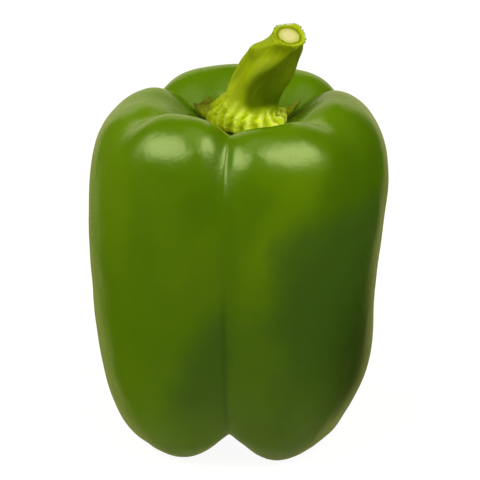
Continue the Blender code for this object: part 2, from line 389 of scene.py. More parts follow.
class PepperColours(bpy.types.PropertyGroup):
    """Colours of the skin and the stem."""

    skin_light: paint("Light skin", "Lighter green of the skin", 0.115, 0.228, 0.0003)
    skin_deep: paint("Deep skin", "Deeper green of the skin", 0.072, 0.165, 0.0003)
    # painted shade with a painted reflection: the blue-green of the dark patches
    skin_shade_reflection: paint("Dark patches", "Blue-green of the dark patches", 0.054, 0.126, 0.0150)
    # painted shade: the darkest green, low on the right flank and along the lower grooves
    skin_painted_shade: paint("Right flank", "Darkest green, low on the right", 0.017, 0.043, 0.0065)
    skin_shoulder: paint("Shoulders", "Yellower green at the top", 0.150, 0.280, 0.0003)
    # cork brown of the scar and specks, also painted shade in the dimple under the calyx
    skin_cork_and_shade: paint("Cork", "Brown of the blossom scar and of the specks", 0.110, 0.070, 0.022)
    stem_light: paint("Light stem", "Lit yellow-green of the stem", 0.420, 0.510, 0.004)
    stem_shade: paint("Shaded stem", "Dark green of the stem's right face", 0.150, 0.225, 0.003)
    stem_deep: paint("Deep stem", "Deeper green of the stem", 0.210, 0.290, 0.003)
    calyx: paint("Calyx", "Bright green of the calyx", 0.640, 0.770, 0.018)
    # pale rib tops that carry painted highlights on the calyx's front
    rib_top_and_highlight: paint("Rib tops", "Pale tops of the calyx's ribs", 0.860, 0.920, 0.290)
    pith: paint("Pith", "Cream of the pith at the cut", 0.780, 0.730, 0.440)
    pith_edge: paint("Pith edge", "Yellower edge of the pith", 0.560, 0.550, 0.110)
    cut_ring: paint("Cut ring", "Dark green ring round the pith", 0.150, 0.190, 0.010)
    # olive of the teeth, deepened as painted shade on the shaded flap
    tooth: paint("Teeth", "Olive of the calyx's teeth", 0.072, 0.096, 0.001)
    # brown of dried edges, also painted shade in the recess at the calyx's margin
    dry_edge_and_shade: paint("Dry edges", "Brown of the dried edges and torn fibres", 0.130, 0.075, 0.012)


class StudioSizes(bpy.types.PropertyGroup):
    """The view and the lights."""

    elevation: in_degrees("Camera elevation", "Camera's angle above the table", 18.0)
    distance: in_metres("Camera distance", "Camera to fruit", 0.9)
    left_light: in_watts("Left light", "Power of the left softbox", 11.5)
    right_light: in_watts("Right light", "Power of the right softbox", 9.6)
    top_light: in_watts("Top light", "Power of the overhead panel", 1.0)
    surround: factor("Surround", "Brightness of the white backdrop", 0.75)
    dimness: factor("Room", "Brightness of the room behind the camera", 0.035)


def new_material(name):
    material = bpy.data.materials.new(name)
    material.use_nodes = True
    return material, Tree(material.node_tree)


def finish_material(tree, colour, roughness, height, bump_distance, fixed):
    """The shader: varying colour, roughness and bump, and its fixed values on its own sockets."""
    bump = {"Height": height, "Distance": bump_distance, "Strength": 1.0}
    normal = tree.add("ShaderNodeBump", {}, bump)
    inputs = {"Base Color": colour, "Roughness": roughness, "Normal": normal} | fixed
    shader = tree.add("ShaderNodeBsdfPrincipled", {}, inputs)
    tree.add("ShaderNodeOutputMaterial", {}, {"Surface": shader})


def skin_material(colours):
    """Waxy skin: mottled greens, yellower shoulders, faint lines, pores and specks, with painted shade
    in blue-green patches that also hold a painted reflection, low on the right flank, along the grooves
    and under the calyx.
    """
    material, tree = new_material("pepper_skin")
    place = tree.add("ShaderNodeTexCoord", {}, {}, "Object")
    x, y, z = (part / MM for part in tree.split(place))
    row, groove = tree.attribute("row"), tree.attribute("groove")
    clouds = tree.noise(place, 0.030)
    lines = tree.noise(place, 0.0035, detail=3.0, stretch=(1.0, 1.0, 0.07))
    mottle = tree.noise(place, 0.0016, detail=3.0, roughness=0.6)
    # painted shade: the tone is darker along the grooves' creases
    tone = 0.62 + clouds * 0.26 + lines * 0.07 + mottle * 0.05 - groove * 0.12
    colour = tree.blend(tone, colours.skin_deep, colours.skin_light)
    front = y.smooth(10.0, -8.0)
    # yellower shoulders, kept weaker on the back lobe as painted shade
    shoulder = row.smooth(6.6, 2.6) * (0.40 + clouds * 0.30) * (0.40 + front * 0.60)
    colour = tree.blend(shoulder, colour, colours.skin_shoulder)
    ragged = tree.noise(place, 0.011, detail=3.0)
    # tone marks of the skin, two of them painted shade
    for middle_x, middle_z, wide, tall, lean, change in SKIN_TONES_AND_SHADE:
        across = (x - (z - middle_z) * lean - middle_x) / wide
        upright = (z - middle_z) / tall
        share = (across**2 + upright**2 + ragged * 0.25).smooth(1.8, 0.0) * front * abs(change)
        colour = tree.blend(share, colour, colours.skin_shoulder if change > 0 else colours.skin_deep)
    # painted shade with a painted reflection: blue-green patches on the front
    for patch in painted_shade_patches(ragged * 2.2, x, z):
        colour = tree.blend(patch * front, colour, colours.skin_shade_reflection)
    # painted shade low on the right flank, where the lights barely reach
    flank = x.smooth(15.0, 36.0) * z.smooth(66.0, 24.0) * z.smooth(2.0, 14.0)
    colour = tree.blend(flank * front * 0.9, colour, colours.skin_painted_shade)
    # painted shade: a dark line along each groove's crease in the lower half
    line = groove.smooth(0.88, 1.0) * z.smooth(62.0, 40.0)
    colour = tree.blend(line * 0.24, colour, colours.skin_painted_shade)
    pores = tree.add("ShaderNodeTexVoronoi", {}, {"Vector": place, "Scale": 1.0 / 0.0011}, "Distance")
    pore = pores.smooth(0.18, 0.05)
    colour = tree.blend(pore * 0.10, colour, colours.skin_shoulder)
    # painted shade: the dimple under the calyx is browned as its dark recess
    colour = tree.blend(row.smooth(2.3, 1.5) * 0.55, colour, colours.skin_cork_and_shade)  # under the calyx
    specks = cork_specks(tree, place) * z.smooth(34.0, 24.0)
    cork = specks.math("MAXIMUM", row.smooth(15.35, 15.85))
    colour = tree.blend(cork * 0.85, colour, colours.skin_cork_and_shade)
    roughness = 0.245 + clouds * 0.02 + mottle * 0.012 + cork * 0.35
    height = lines * 0.30 + mottle * 0.50 + tree.noise(place, 0.0006, detail=1.0) * 0.10 - pore * 0.25
    fixed = {"Specular IOR Level": 1.0, "IOR": 1.45, "Specular Tint": (0.88, 1.0, 0.60, 1.0)}
    finish_material(tree, colour, roughness, height, 0.00003, fixed)
    return material


def painted_shade_patches(ragged, x, z):
    """Painted shade with a painted reflection, in blue-green: a large patch on the right of the front
    and a wedge beside the front groove.
    """
    across = (38.0 - x + ragged).math("ABSOLUTE") / 29.0
    upright = (z + ragged - 38.0).math("MAXIMUM", 0.0) / 33.5
    yield (across**4 + upright**4).smooth(1.85, 0.28) * (z.smooth(4.0, 40.0) * 0.30 + 0.65)
    left = x + ragged + 6.0 + (50.0 - z) * 0.42
    aside, up = x + ragged, z + ragged
    wedge = left.smooth(-7.0, 5.0) * aside.smooth(0.0, -4.5) * z.smooth(8.0, 24.0)
    yield wedge * up.smooth(54.0, 42.0) * 0.85
    beside = aside.smooth(-4.5, 0.0) * aside.smooth(14.0, 8.0)
    yield beside * up.smooth(52.0, 40.0) * 0.42


def cork_specks(tree, place):
    """A few small brown specks, picked at random from the cells of a coarse pattern."""
    cells = tree.add("ShaderNodeTexVoronoi", {}, {"Vector": place, "Scale": 1.0 / 0.0065}, "Distance")
    pick = tree.add("ShaderNodeSeparateColor", {}, {"Color": cells.out("Color")}, "Red")
    dot = cells.smooth(0.055, 0.030)
    return dot * (pick > 0.90)


def stem_material(colours):
    """Fleshy stem: fine lines along it, pale ribbed calyx, cream pith, dry brown edges, and painted
    light: shade on the right face, a highlight line, a brighter calyx front with highlighted rib tops,
    and shade deepening the teeth and the calyx's margin.
    """
    material, tree = new_material("stem_skin")
    place = tree.add("ShaderNodeTexCoord", {}, {}, "Object")
    fibre = tree.add("ShaderNodeAttribute", {"attribute_name": "fibre"}, {}, "Vector")
    collar, rib, margin = tree.attribute("collar"), tree.attribute("rib"), tree.attribute("margin")
    pith, ring, rim = tree.attribute("pith"), tree.attribute("ring"), tree.attribute("rim")
    lines = tree.noise(fibre, 0.0016, detail=3.0)
    clouds = tree.noise(place, 0.006)
    grain = tree.noise(place, 0.0009, detail=3.0, roughness=0.6)
    tone = 0.58 + lines * 0.30 + clouds * 0.32 + grain * 0.06
    colour = tree.blend(tone, colours.stem_deep, colours.stem_light)
    shade = tree.attribute("shade") * (0.85 + lines * 0.15)
    colour = tree.blend(shade, colour, colours.stem_shade)
    # painted highlight along a ridge of the shaded face
    colour = tree.blend(tree.attribute("scratch") * 0.45, colour, colours.stem_light)
    bruise = (clouds + grain * 0.4).smooth(0.55, 1.3)
    colour = tree.blend(bruise * 0.25, colour, colours.dry_edge_and_shade)
    front = tree.attribute("front")
    # painted light: the calyx is brighter on its front side
    colour = tree.blend(collar * (front * 0.70 + 0.30), colour, colours.calyx)
    ridges = rib + grain * 0.30 + clouds * 0.20
    colour = tree.blend(collar * ridges.smooth(0.45, -0.15) * 0.50, colour, colours.stem_deep)
    # painted highlights on the rib tops of the calyx's front
    pale = collar * front * ridges.smooth(0.50, 1.15)
    colour = tree.blend(pale, colour, colours.rib_top_and_highlight)
    colour = tree.blend(rim * (0.75 + grain * 0.3), colour, colours.calyx)
    tooth = tree.attribute("tooth")
    # the teeth's olive, deepened as painted shade
    colour = tree.blend(tooth * (0.95 - clouds * 0.15), colour, colours.tooth)
    torn = tree.noise(place, 0.0016, detail=3.0)
    # dry brown at the calyx's margin and teeth, partly painted shade of the recess where it meets the
    # fruit
    dry_and_shade = (margin * (tooth * 0.60 + 0.10 + torn * 0.5)).smooth(0.35, 0.9)
    dry_and_shade = dry_and_shade.math("MAXIMUM", rim * torn.smooth(0.7, 1.3))
    colour = tree.blend(dry_and_shade * 0.85, colour, colours.dry_edge_and_shade)
    colour = tree.blend(ring * 0.85, colour, colours.cut_ring)
    edge = tree.attribute("pith_edge") * 0.75 + grain * 0.10
    cream = tree.blend(edge, colours.pith, colours.pith_edge)
    colour = tree.blend(pith, colour, cream)
    roughness = 0.48 + grain * 0.05 + pith * 0.25 + dry_and_shade * 0.2 - collar * 0.12
    height = lines * 0.5 + grain * 0.35 + collar * clouds * 0.3
    fixed = {"Specular IOR Level": 0.22, "IOR": 1.42, "Specular Tint": (0.90, 1.0, 0.55, 1.0)}
    finish_material(tree, colour, roughness, height, 0.00006, fixed)
    return material


def floor_material():
    """A pale floor: near white to the camera, dim to the fruit, so that little light comes up."""
    material, tree = new_material("pale_floor")
    dull = {"Roughness": 0.8, "Specular IOR Level": 0.0}
    white = dull | {"Base Color": (0.16, 0.16, 0.16, 1.0), "Emission Color": (1.0, 1.0, 1.0, 1.0)}
    seen = tree.add("ShaderNodeBsdfPrincipled", {}, white | {"Emission Strength": 0.94})
    dim = tree.add("ShaderNodeBsdfPrincipled", {}, dull | {"Base Color": (0.66, 0.66, 0.40, 1.0)})
    camera = tree.add("ShaderNodeLightPath", {}, {}, "Is Camera Ray")
    mixed = tree.add("ShaderNodeMixShader", {}, {0: camera, 1: dim, 2: seen})
    tree.add("ShaderNodeOutputMaterial", {}, {"Surface": mixed})
    return material


def make_meridian():
    """The meridian as a line of points, with its mirrored ends, that pulls a smooth curve."""
    rows = np.column_stack([MERIDIAN, np.arange(len(MERIDIAN))])
    mirror = np.array([-1, 1, 1, 1, 1, 1, 1])
    rows = np.vstack([rows[1] * mirror, rows, rows[-2] * mirror])
    rows[[0, -1], 6] = -1, len(MERIDIAN)
    mesh = bpy.data.meshes.new("meridian")
    points = [(radius * MM, 0.0, height * MM) for radius, height in rows[:, :2]]
    mesh.from_pydata(points, [(i, i + 1) for i in range(len(points) - 1)], [])
    depths = mesh.attributes.new("depths", "FLOAT_VECTOR", "POINT")
    depths.data.foreach_set("vector", (rows[:, 2:5] * MM).ravel())
    spread = mesh.attributes.new("spread", "FLOAT_VECTOR", "POINT")
    wide = np.column_stack([np.radians(rows[:, 5]), rows[:, 6], np.zeros(len(rows))])
    spread.data.foreach_set("vector", wide.ravel())
    return link_object("meridian", mesh)


def link_object(name, data):
    obj = bpy.data.objects.new(name, data)
    bpy.context.scene.collection.objects.link(obj)
    return obj


def new_group(name, **inputs):
    """A geometry tree with inputs listed by kind: the tree, a wire and an identifier for each."""
    group = bpy.data.node_groups.new(name, "GeometryNodeTree")
    group.interface.new_socket(name="Geometry", in_out="OUTPUT", socket_type="NodeSocketGeometry")
    keys = {}
    for kind, labels in inputs.items():
        for label in labels:
            socket = {"name": label, "in_out": "INPUT", "socket_type": f"NodeSocket{kind}"}
            keys[label] = group.interface.new_socket(**socket).identifier
    tree = Tree(group)
    first = tree.add("NodeGroupInput", {}, {})
    return tree, {label: first.out(label) for label in keys}, keys


def end_group(tree, geometry, material):
    """Smooth shading, real copies and the material, as the last nodes of a geometry tree."""
    geometry = tree.add("GeometryNodeSetShadeSmooth", {}, {"Geometry": geometry})
    geometry = tree.add("GeometryNodeRealizeInstances", {}, {"Geometry": geometry})
    geometry = tree.add("GeometryNodeSetMaterial", {}, {"Geometry": geometry, "Material": material})
    tree.add("NodeGroupOutput", {}, {"Geometry": geometry})


def settle(name, tree, keys, values):
    """Runs a geometry tree on a new object and keeps only the plain mesh that comes out."""
    obj = link_object(name, bpy.data.meshes.new(name))
    modifier = obj.modifiers.new(name, "NODES")
    modifier.node_group = tree.data
    for label, value in values.items():
        modifier[keys[label]] = value
    depsgraph = bpy.context.evaluated_depsgraph_get()
    grown = obj.evaluated_get(depsgraph)
    mesh = bpy.data.meshes.new_from_object(grown, preserve_all_data_layers=True, depsgraph=depsgraph)
    obj.modifiers.clear()
    obj.data = mesh
    mesh.name = name
    if not mesh.polygons:
        raise RuntimeError(f"{name} came out empty")
    return obj


def gathered_angle(angle):
    """Even angles crowded towards the grooves, with a meridian line along each groove."""
    turn = (angle / (2 * math.pi)).math("FRACT") * len(GROOVES)
    lobe = turn.math("FLOOR")
    across = turn - lobe
    starts = [math.radians(groove) for groove in GROOVES]
    widths = [(starts[(i + 1) % len(starts)] - start) % (2 * math.pi) for i, start in enumerate(starts)]
    start, width = starts[0], widths[0]
    for i in range(1, len(GROOVES)):
        past = lobe > i - 0.5
        start = past * (starts[i] - starts[i - 1]) + start
        width = past * (widths[i] - widths[i - 1]) + width
    wave = (across * (2 * math.pi)).math("SINE") * (GATHER / (2 * math.pi))
    return start + width * (across - wave)


def apart(angle, degrees):
    """Signed radians from a direction to an angle."""
    return (angle - math.radians(degrees)).math("WRAP", math.pi, -math.pi)


def fruit_tree(material):
    """Grows the fruit: a ball whose points are placed by the meridian curve and the grooves."""
    floats = ("Groove depth", "Crease width", "Lumps", "Ripples", "Seed")
    tree, given, keys = new_group(
        "pepper_fruit", Object=("Meridian",), Int=("Around", "Down"), Float=floats
    )
    source = tree.add("GeometryNodeObjectInfo", {}, {"Object": given["Meridian"]}, "Geometry")
    curve = tree.add("GeometryNodeMeshToCurve", {}, {"Mesh": source})
    curve = tree.add("GeometryNodeCurveSplineType", {"spline_type": "NURBS"}, {"Curve": curve})
    curve = tree.add("GeometryNodeSetSplineResolution", {}, {"Geometry": curve, "Resolution": 48})
    inputs = {"Segments": given["Around"], "Rings": given["Down"]}
    fruit = tree.add("GeometryNodeMeshUVSphere", {}, inputs, "Mesh")
    x, y, z = tree.split(tree.position())
    angle = gathered_angle(y.math("ARCTAN2", x))
    share = z.math("MAXIMUM", -1.0).math("MINIMUM", 1.0).math("ARCCOSINE") / math.pi

    def sample(name):
        settings = {"data_type": "FLOAT_VECTOR", "mode": "FACTOR"}
        inputs = {"Curves": curve, "Value": tree.named_vector(name), "Factor": share}
        return tree.add("GeometryNodeSampleCurve", settings, inputs, "Value")

    depths = sample("depths")
    valley, crease, shallow = tree.split(depths)
    half_width, row, _ = tree.split(sample("spread"))
    middle, _, middle_height = tree.split(depths.out("Position"))
    tangent, _, tangent_height = tree.split(depths.out("Tangent"))

    fold = 0.0
    push = 0.0
    for groove in GROOVES:
        distance = apart(angle, groove)
        narrow = (distance / given["Crease width"]) ** 2 + CREASE_ROUNDING**2
        narrow = (CREASE_ROUNDING - narrow**0.5).math("EXPONENT")
        fold = narrow + fold
        push = push - (valley * distance.hump(half_width) + crease * narrow)
    push = push * given["Groove depth"]
    for valley_angle in SHALLOW_VALLEYS:
        push = push - shallow * apart(angle, valley_angle).hump(math.radians(SHALLOW_WIDTH))
    for swell, wide, middle_row, reach, outwards in SWELLS:
        near = apart(angle, swell).hump(math.radians(wide)) * (row - middle_row).hump(reach)
        push = push + near * (outwards * MM)
    radius = middle - push * tangent_height
    height = middle_height + push * tangent
    target = tree.join(radius * angle.math("COSINE"), radius * angle.math("SINE"), height)
    settings = {"data_type": "FLOAT", "domain": "POINT"}
    for name, value in (("groove", fold), ("row", row)):
        inputs = {"Geometry": fruit, "Name": name, "Value": value}
        fruit = tree.add("GeometryNodeStoreNamedAttribute", settings, inputs)
    fruit = tree.add("GeometryNodeSetPosition", {}, {"Geometry": fruit, "Position": target})
    fruit = add_lumps(tree, fruit, given)
    end_group(tree, fruit, material)
    return tree, keys


def add_lumps(tree, fruit, given):
    """Gentle lumps and fine ripples along the surface's normal, then the flat spots it stands on."""
    where = tree.vector("ADD", tree.position(), tree.join(given["Seed"], given["Seed"] * 1.7, 0.0))
    lumps = tree.noise(where, 0.016, detail=1.0) * given["Lumps"]
    ripples = tree.noise(where, 0.0045, detail=1.0, stretch=(1.0, 1.0, 0.25)) * given["Ripples"]
    normal = tree.add("GeometryNodeInputNormal", {}, {}, "Normal")
    offset = tree.vector("SCALE", normal, lumps + ripples - given["Lumps"] * INWARDS)
    fruit = tree.add("GeometryNodeSetPosition", {}, {"Geometry": fruit, "Offset": offset})
    x, y, z = tree.split(tree.position())
    stood = tree.join(x, y, z.math("MAXIMUM", 0.0))
    return tree.add("GeometryNodeSetPosition", {}, {"Geometry": fruit, "Position": stood})


def smooth_rows(rows, share, odd):
    """The rows' cubic B-spline at shares 0 to 1, mirrored at both ends, odd columns turned over."""
    mirror = np.ones(rows.shape[1])
    mirror[list(odd)] = -1
    pulls = np.vstack([rows[1] * mirror, rows, rows[-2] * mirror])
    spans = len(rows) - 1
    at = np.clip(share, 0, 1) * spans
    first = np.minimum(at.astype(int), spans - 1)
    f = (at - first)[:, None]
    weights = ((1 - f) ** 3, 3 * f**3 - 6 * f**2 + 4, -3 * f**3 + 3 * f**2 + 3 * f + 1, f**3)
    return sum(w * pulls[first + i] for i, w in enumerate(weights)) / 6


def turned(angle, degrees):
    """Signed degrees from a direction, given in degrees, to angles in radians."""
    return np.degrees(np.angle(np.exp(1j * (angle - math.radians(degrees)))))


def hump(distance, half_width):
    return np.exp(-((distance / half_width) ** 2))


def rise(value, low, high):
    """Rises smoothly from 0 at low to 1 at high."""
    t = np.clip((value - low) / (high - low), 0, 1)
    return t * t * (3 - 2 * t)


def rough(points, size, seed):
    """Noise about nought at points, with lumps of that size."""
    return np.array([noise.noise(Vector(point) / size + Vector((seed, 0, 0))) for point in points])


def path_at(place):
    """Points of the stem's path and its direction there."""
    rest = 1 - place
    weights = (rest**3, 3 * place * rest**2, 3 * place**2 * rest, place**3)
    middle = sum(w[:, None] * point for w, point in zip(weights, STEM_PATH))
    legs = np.diff(STEM_PATH, axis=0)
    along = sum(w[:, None] * leg for w, leg in zip((rest**2, 2 * place * rest, place**2), legs))
    return middle, along / np.linalg.norm(along, axis=1, keepdims=True)


def flute_angle(angle, place):
    """Signed degrees from the first flute, which turns towards the cut and the foot."""
    return turned(angle, FLUTE_ANGLE) - FLUTE_TWIST * (place - FLUTE_STRAIGHT_AT) ** 2


def stalk_points(angle, place, radius, flute):
    """Points on the stem's own rings, square to its path."""
    middle, along = path_at(place)
    turn = np.clip((place - CUT_TURN_FROM) / (1 - CUT_TURN_FROM), 0, 1)[:, None] ** 2
    along = along + turn * (CUT_FACING - along)
    along /= np.linalg.norm(along, axis=1, keepdims=True)
    right = np.array([1.0, 0, 0]) - along[:, :1] * along
    right /= np.linalg.norm(right, axis=1, keepdims=True)
    back = np.cross(along, right)
    radius = radius + flute * np.cos(np.radians(FLUTES * flute_angle(angle, place)))
    for scar, half_width, scar_place, reach, outwards in SCARS:
        bump = hump(turned(angle, scar), half_width) * hump(place - scar_place, reach)
        radius = radius + outwards * bump * np.minimum(radius / CUT_RADIUS, 1) ** 6
    return middle + radius[:, None] * (np.cos(angle)[:, None] * right + np.sin(angle)[:, None] * back)


class Calyx:
    """The calyx laid over the fruit's dimple."""

    def __init__(self, fruit, sizes):
        depsgraph = bpy.context.evaluated_depsgraph_get()
        self.fruit = BVHTree.FromObject(fruit, depsgraph)
        self.radius = sizes.calyx_radius / MM
        self.thickness = sizes.calyx_thickness / MM
        self.rib_height = sizes.rib_height / MM
        self.ribs = sizes.ribs

    def ribs_at(self, angle):
        """The ribs' height at angles, from -1 to 1, unevenly spaced as they grow."""
        uneven = 7 * np.sin(2 * angle + 0.6) + 4 * np.sin(5 * angle + 2.0)
        return np.cos(np.radians(self.ribs * turned(angle, RIB_ANGLE) + 3 * uneven))

    def dimple_height(self, x, y):
        down = Vector((0, 0, -1))
        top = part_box("fruit")[1].z * 1.1
        hits = [self.fruit.ray_cast(Vector((i * MM, j * MM, top)), down)[0] for i, j in zip(x, y)]
        return np.array([hit.z / MM for hit in hits])

    def margin_at(self, angle):
        """How far the calyx reaches from its centre at angles, and how much its teeth rise there."""
        margin = self.radius + self.rib_height * self.ribs_at(angle)
        lift = np.zeros_like(angle)
        for tooth, half_width, reach, tooth_rise in TEETH:
            shape = hump(turned(angle, tooth), half_width)
            margin = margin + reach * shape
            lift = lift + tooth_rise * shape
        return margin, lift

    def points(self, angle, across, through):
        margin, lift = self.margin_at(angle)
        distance = across * margin
        lift = lift * np.clip((distance - LIFT_FROM) / (margin - LIFT_FROM), 0, 1) ** 2
        past_stem = np.maximum(distance - FLARE_FROM, 0)
        thickness = self.thickness + self.rib_height * self.ribs_at(angle)
        thickness = thickness + FLARE_THICKNESS * np.exp(-past_stem / FLARE_FADE)
        x = CALYX_CENTRE[0] + distance * np.cos(angle)
        y = CALYX_CENTRE[1] + distance * np.sin(angle)
        return np.stack([x, y, self.dimple_height(x, y) + SEAT_GAP + lift + through * thickness], 1)


def stem_mesh(fruit, sizes, material):
    """The stem and calyx as one closed mesh, with its relief and the masks its material reads."""
    ball = bmesh.new()
    bmesh.ops.create_uvsphere(ball, u_segments=sizes.around, v_segments=sizes.down, radius=1.0)
    mesh = bpy.data.meshes.new("stem")
    ball.to_mesh(mesh)
    ball.free()
    count = len(mesh.vertices)
    unit = np.zeros(count * 3)
    mesh.vertices.foreach_get("co", unit)
    unit = unit.reshape(-1, 3)
    angle = np.arctan2(unit[:, 1], unit[:, 0])
    share = np.arccos(np.clip(unit[:, 2], -1, 1)) / math.pi
    place, radius, flute, collar, across, through = smooth_rows(STEM_RINGS, share, odd=(1, 4)).T
    calyx = Calyx(fruit, sizes)
    points = stalk_points(angle, place, radius, flute)
    low = collar > 0
    laid = calyx.points(angle[low], across[low], through[low])
    points[low] += collar[low, None] * (laid - points[low])
    mesh.vertices.foreach_set("co", points.ravel())
    mesh.update()

    row = share * (len(STEM_RINGS) - 1)
    masks = stem_masks(calyx, angle, place, row, radius, collar, across, through)
    normals = np.zeros(count * 3)
    mesh.vertex_normals.foreach_get("vector", normals)
    relief = stem_relief(points, angle, place, masks, sizes)
    points = points + normals.reshape(-1, 3) * relief[:, None]
    points[:, 2] = np.minimum(points[:, 2], highest() / MM)
    mesh.vertices.foreach_set("co", (points * MM).ravel())
    for name, values in masks.items():
        mesh.attributes.new(name, "FLOAT", "POINT").data.foreach_set("value", values.astype(np.float32))
    grain = grain_place(angle, place) * MM
    mesh.attributes.new("fibre", "FLOAT_VECTOR", "POINT").data.foreach_set("vector", grain.ravel())
    mesh.materials.append(material)
    mesh.shade_smooth()
    mesh.update()
    return mesh


def grain_place(angle, place):
    """Where points of the stem lie in a pattern drawn out along it, in millimetres."""
    x, y = np.cos(angle) * GRAIN_AROUND, np.sin(angle) * GRAIN_AROUND
    return np.stack([x, y, place * GRAIN_ALONG], 1)


def highest():
    """The height that the torn edges of the cut stay under."""
    return cad_box[1].z - 0.05 * MM


def stem_masks(calyx, angle, place, row, radius, collar, across, through):
    """Where each part and tone of the stem and the calyx lies, from 0 to 1."""
    face = row < CUT_ROW
    top = through > 0.3
    teeth = 0
    for tooth, half_width, reach, _ in TEETH:
        if reach > 3:
            teeth = teeth + hump(turned(angle, tooth), half_width * 1.4) * reach / 7
    past = flute_angle(angle, place)
    foot = row + FOOT_RISE[2] * hump(turned(angle, FOOT_RISE[0]), FOOT_RISE[1])
    shade = rise(past, *SHADED_FACE[0]) * (1 - rise(past, *SHADED_FACE[1]))
    return {
        # painted highlight: a pale line along a ridge up the shaded face
        "scratch": hump(past - 10.0 - 58.0 * (place - 0.43), 1.8) * hump(place - 0.53, 0.09),
        "pith": face * (1 - rise(radius, PITH_RADIUS - 0.35, PITH_RADIUS)),
        "ring": face * hump(radius - PITH_RADIUS - 0.30, 0.22),
        "pith_edge": rise(radius, 0.8, PITH_RADIUS),
        "rim": hump(row - CUT_ROW, 0.9),
        "collar": rise(foot, 11.2, 12.8),
        "rib": (0.5 + 0.5 * calyx.ribs_at(angle)) * rise(foot, 11.0, 12.6) * top,
        # painted light: where the calyx is painted brighter, with highlights on its rib tops
        "front": hump(turned(angle, CALYX_PAINTED_LIGHT[0]), CALYX_PAINTED_LIGHT[1]),
        "margin": rise(across, 0.91, 1.0) * rise(collar, 0.5, 0.9),
        "upper": rise(through, 0.1, 0.6),
        "tooth": rise(across * calyx.margin_at(angle)[0], 7.6, 9.2) * teeth * rise(collar, 0.3, 0.7),
        "shade": shade * (1 - rise(foot, 11.2, 12.2)) * (1 - face),
    }


def stem_relief(points, angle, place, masks, sizes):
    """How far each point stands out, in millimetres, from the smooth stem."""
    stalk = (1 - masks["collar"]) * (1 - masks["pith"]) * (1 - masks["rim"])
    grain = grain_place(angle, place)
    lines = rough(grain, 1.0, 5.0) + 0.5 * rough(grain, 0.5, 9.0)
    half_face = 180.0 / FLUTES
    edges = hump(np.mod(flute_angle(angle, place) + half_face, 2 * half_face) - half_face, 8.0)
    coarse = rough(points, 1.7, 2.0)
    fine = rough(points, 0.7, 4.0)
    broad = rough(points, 5.0, 8.0)
    relief = stalk * (lines * sizes.fibre_height / MM + edges * sizes.ridge_height / MM + broad * 0.2)
    relief += masks["collar"] * masks["upper"] * (coarse * 0.32 + fine * 0.12)
    relief += masks["rim"] * (coarse * 0.22 + fine * 0.14 - 0.1)
    relief += masks["pith"] * (coarse * 0.10 + fine * 0.06)
    return relief


def fibre_tree(material):
    """Torn fibres: small tapered strips set round the rim of the cut, leaning out at random."""
    floats = ("Length", "Width", "Highest")
    tree, given, keys = new_group("torn_fibres", Object=("Rim",), Int=("Fibres", "Seed"), Float=floats)
    source = tree.add("GeometryNodeObjectInfo", {}, {"Object": given["Rim"]}, "Geometry")
    curve = tree.add("GeometryNodeMeshToCurve", {}, {"Mesh": source})
    points = tree.add("GeometryNodeCurveToPoints", {}, {"Curve": curve, "Count": given["Fibres"]})
    inputs = {"Vertices": 5, "Radius Bottom": given["Width"], "Depth": given["Length"]}
    strip = tree.add("GeometryNodeMeshCone", {}, inputs, "Mesh")
    settings = {"data_type": "FLOAT_VECTOR"}
    inputs = {"Min": (-0.7,) * 3, "Max": (0.7,) * 3, "Seed": given["Seed"]}
    stray = tree.add("FunctionNodeRandomValue", settings, inputs, "Value")
    inputs = {"Vector": tree.vector("ADD", tree.named_vector("outwards"), stray)}
    turn = tree.add("FunctionNodeAlignRotationToVector", {"axis": "Z"}, inputs, "Rotation")
    inputs = {"Min": (0.5, 0.5, 0.3), "Max": (1.3, 1.3, 1.2), "Seed": given["Seed"] + 1}
    size = tree.add("FunctionNodeRandomValue", settings, inputs, "Value")
    inputs = {"Points": points, "Instance": strip, "Rotation": turn, "Scale": size}
    placed = tree.add("GeometryNodeInstanceOnPoints", {}, inputs)
    placed = tree.add("GeometryNodeRealizeInstances", {}, {"Geometry": placed})
    x, y, z = tree.split(tree.position())
    inputs = {"Geometry": placed, "Position": tree.join(x, y, z.math("MINIMUM", given["Highest"]))}
    end_group(tree, tree.add("GeometryNodeSetPosition", {}, inputs), material)
    return tree, keys


def rim_line(sizes):
    """The rim of the cut as a closed line, with the way out from the stem at each point."""
    ring = round(CUT_ROW / (len(STEM_RINGS) - 1) * sizes.down)
    share = np.full(sizes.around, ring / sizes.down)
    angle = np.linspace(0, 2 * math.pi, sizes.around, endpoint=False)
    place, radius, flute = smooth_rows(STEM_RINGS, share, odd=(1, 4)).T[:3]
    points = stalk_points(angle, place, radius, flute)
    middle, along = path_at(place)
    outwards = points - middle
    outwards /= np.linalg.norm(outwards, axis=1, keepdims=True)
    mesh = bpy.data.meshes.new("rim")
    edges = [(i, (i + 1) % len(points)) for i in range(len(points))]
    mesh.from_pydata([tuple(point) for point in points * MM], edges, [])
    lean = outwards * 0.8 + along * 0.6
    mesh.attributes.new("outwards", "FLOAT_VECTOR", "POINT").data.foreach_set("vector", lean.ravel())
    return link_object("rim", mesh)


class PEPPER_OT_fruit(bpy.types.Operator):
    """Grow the fruit with its lobes, grooves and dimple"""

    bl_idname = "pepper.fruit"
    bl_label = "Fruit"

    def execute(self, context):
        sizes = context.scene.pepper_fruit
        tree, keys = fruit_tree(skin_material(context.scene.pepper_colours))
        meridian = make_meridian()
        values = {
            "Meridian": meridian, "Around": sizes.around, "Down": sizes.down,
            "Groove depth": sizes.groove_depth, "Crease width": sizes.crease_width,
            "Lumps": sizes.lumps, "Ripples": sizes.ripples, "Seed": sizes.seed,
        }
        fruit = settle("pepper_fruit", tree, keys, values)
        bpy.data.objects.remove(meridian)
        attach(fruit, "root")
        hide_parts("fruit")
        return {"FINISHED"}


